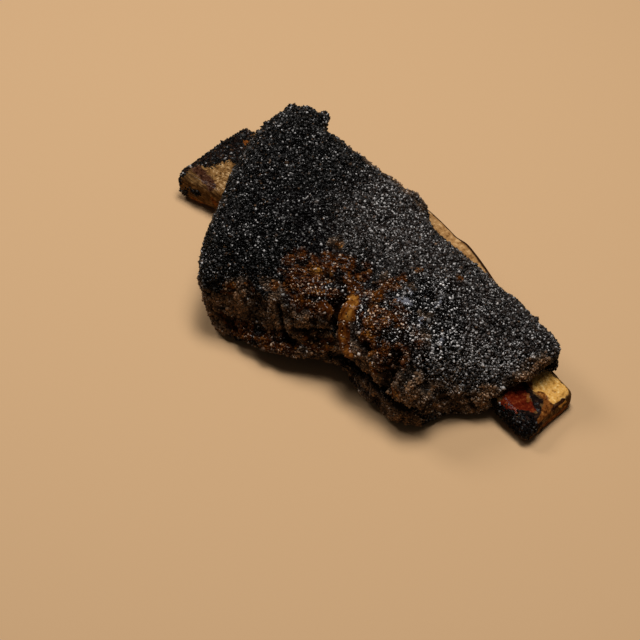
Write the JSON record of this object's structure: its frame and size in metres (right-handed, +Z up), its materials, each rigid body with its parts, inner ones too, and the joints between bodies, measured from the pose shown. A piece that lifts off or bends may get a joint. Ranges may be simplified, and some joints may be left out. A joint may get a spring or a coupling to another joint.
{
  "type": "smoked beef rib",
  "caption": "Smoked beef rib: a long arched bone bare at both ends, with a thick lobed piece of meat on it under a black pepper crust.",
  "frame": {"origin": "on the surface it lies on, below the middle of its box", "axes": "+X along the bone from its wide end to its narrow end, +Y from the thick near lobes to the far side, +Z up"},
  "size_m": [0.225, 0.1168, 0.0486],
  "materials": {
    "bone": "smoked bone: amber and tan where bare, charred black at its edges and sawn ends, half gloss",
    "bark": "black grainy pepper crust, turning to dark brown glossy fat on the near side"
  },
  "bodies": {
    "root": {"bone": "bone", "meat": "bark"}
  },
  "joints": []
}
